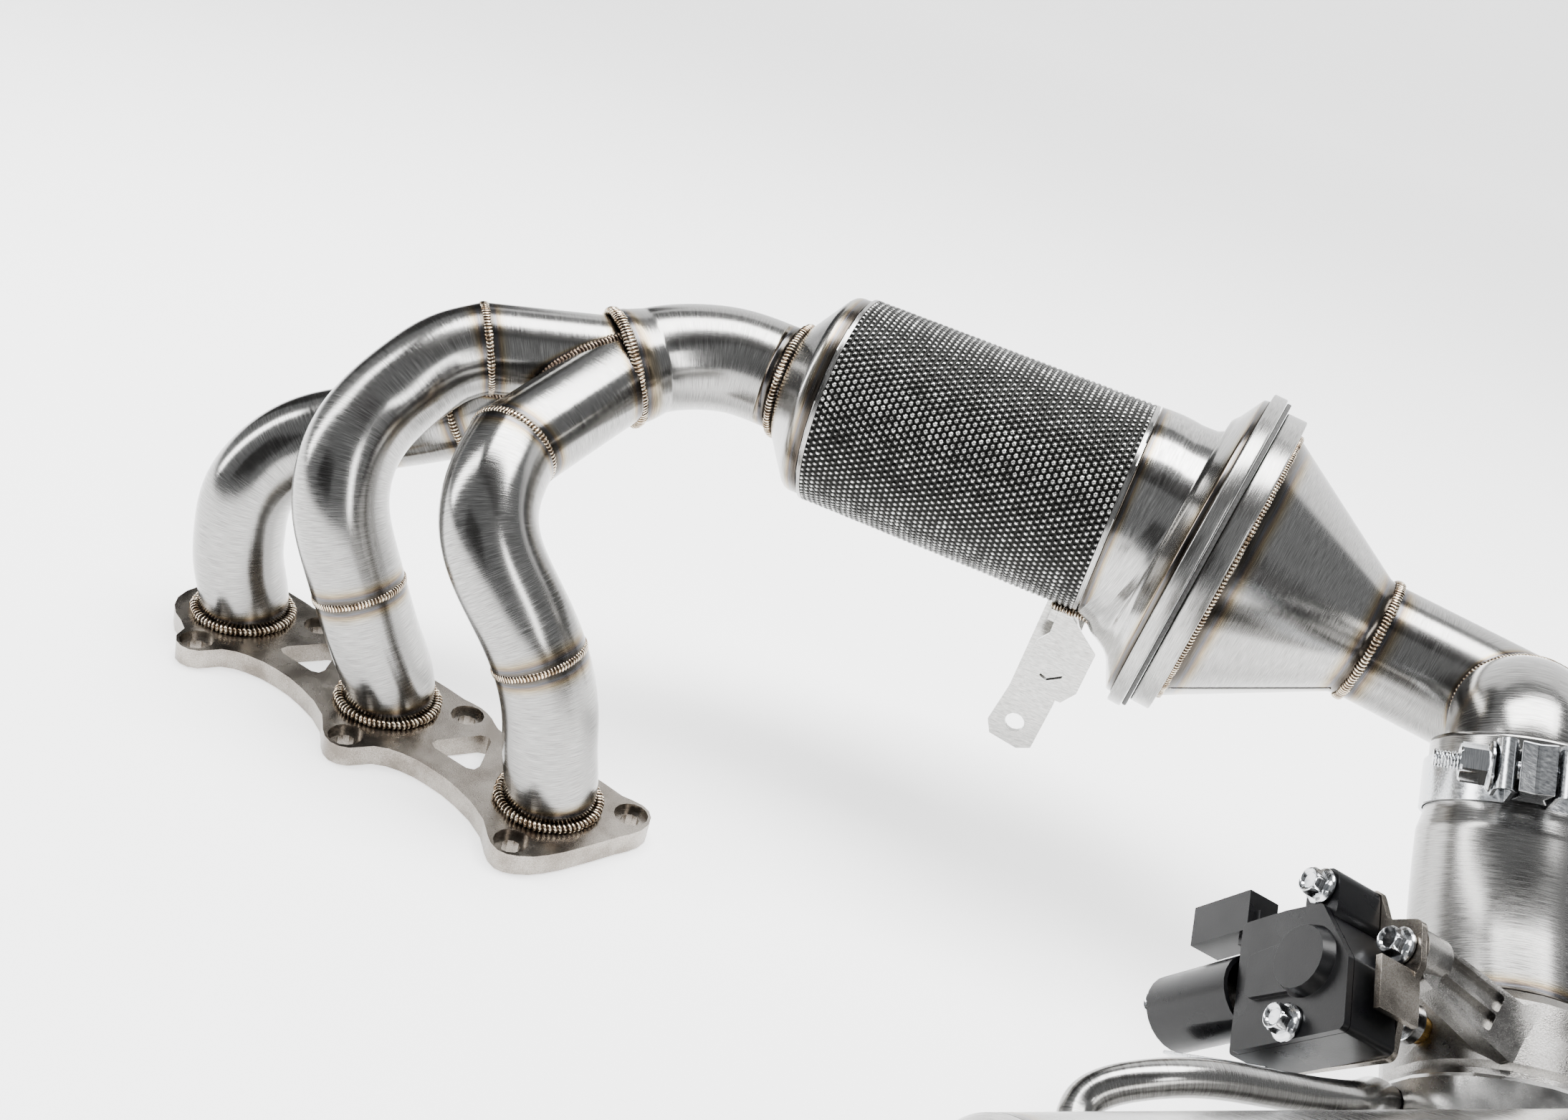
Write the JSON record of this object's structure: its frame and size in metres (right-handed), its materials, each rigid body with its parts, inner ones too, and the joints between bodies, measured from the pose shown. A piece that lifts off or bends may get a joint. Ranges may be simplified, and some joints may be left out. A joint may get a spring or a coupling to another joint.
{
  "type": "exhaust bank with catalytic converter, exhaust valve and muffler",
  "caption": "Stainless racing exhaust bank: flanged header, embossed catalytic converter, link pipe, band clamp, electric exhaust valve and muffler",
  "frame": {"origin": "on the gasket face of the head flange, between the second and third ports", "axes": "X along the row of ports, Z out of the gasket face towards the tubes, Y from the studs' front row to the rear row"},
  "size_m": [0.9144, 0.6249, 0.3038],
  "materials": {
    "tube": "brushed",
    "plate": "laser cut",
    "weld": "satin",
    "foil": "embossed",
    "mat": "matt",
    "honeycomb": "dull",
    "gasket": "dull",
    "zinc": "bright plated",
    "casting": "as cast",
    "bronze": "satin",
    "nylon": "matt"
  },
  "bodies": {
    "frame": {"actuator_bracket": "plate", "actuator_heat_plate": "tube", "actuator_housing": "nylon", "band_block": "plate", "band_bolt": "zinc", "band_nut": "zinc", "band_strap": "zinc", "bolt_boss": "zinc", "bolt_far": "zinc", "bolt_front": "zinc", "bolt_top": "zinc", "bypass_tube": "tube", "cat_bracket": "plate", "cat_flange": "plate", "cat_inlet_cone": "tube", "cat_inlet_weld": "weld", "cat_mat": "mat", "cat_outlet_shell": "tube", "cat_shell": "tube", "cat_substrate": "honeycomb", "core_tube": "tube", "down_pipe": "tube", "elbow": "tube", "flange_gasket": "gasket", "gear_cover": "nylon", "head_flange": "plate", "heat_shield": "foil", "link_cone": "tube", "link_pipe": "tube", "link_rim": "plate", "link_weld": "weld", "muffler_cap_closed": "tube", "muffler_cap_outlet": "tube", "muffler_inlet": "tube", "muffler_shell": "tube", "outlet_bend": "tube", "port_weld_1": "weld", "port_weld_2": "weld", "port_weld_3": "weld", "primary_1": "tube", "primary_2": "tube", "primary_3": "tube", "runner_1": "tube", "runner_2": "tube", "runner_3": "tube", "shaft_bush_far": "bronze", "shaft_bush_near": "bronze", "tail_pipe": "tube", "valve_housing": "casting"},
    "flap": {"valve_flap": "tube", "valve_shaft": "tube", "drive_hub": "zinc", "drive_spring": "tube", "drive_dog": "zinc", "output_gear": "bronze"},
    "wheel": {"worm_wheel": "bronze"},
    "rotor": {"motor_rotor": "tube"}
  },
  "joints": [
    {"name": "flap_turn", "type": "hinge", "parent": "frame", "child": "flap", "pos_m": [0.5155, 0.066, 0.118], "axis": [-0.8126, -0.4865, 0.321], "range_deg": [0, 85]},
    {"name": "wheel_turn", "type": "hinge", "parent": "frame", "child": "wheel", "pos_m": [0.43274, 0.02073, 0.12027], "axis": [-0.8126, -0.4865, 0.321], "continuous": true},
    {"name": "rotor_turn", "type": "hinge", "parent": "frame", "child": "rotor", "pos_m": [0.41239, 0.03722, 0.10934], "axis": [0.5003, -0.2996, 0.8124], "continuous": true}
  ],
  "couplings": [
    {"joint": "wheel_turn", "follows": "flap_turn", "ratio": -1.3559},
    {"joint": "rotor_turn", "follows": "flap_turn", "ratio": 32.542}
  ]
}
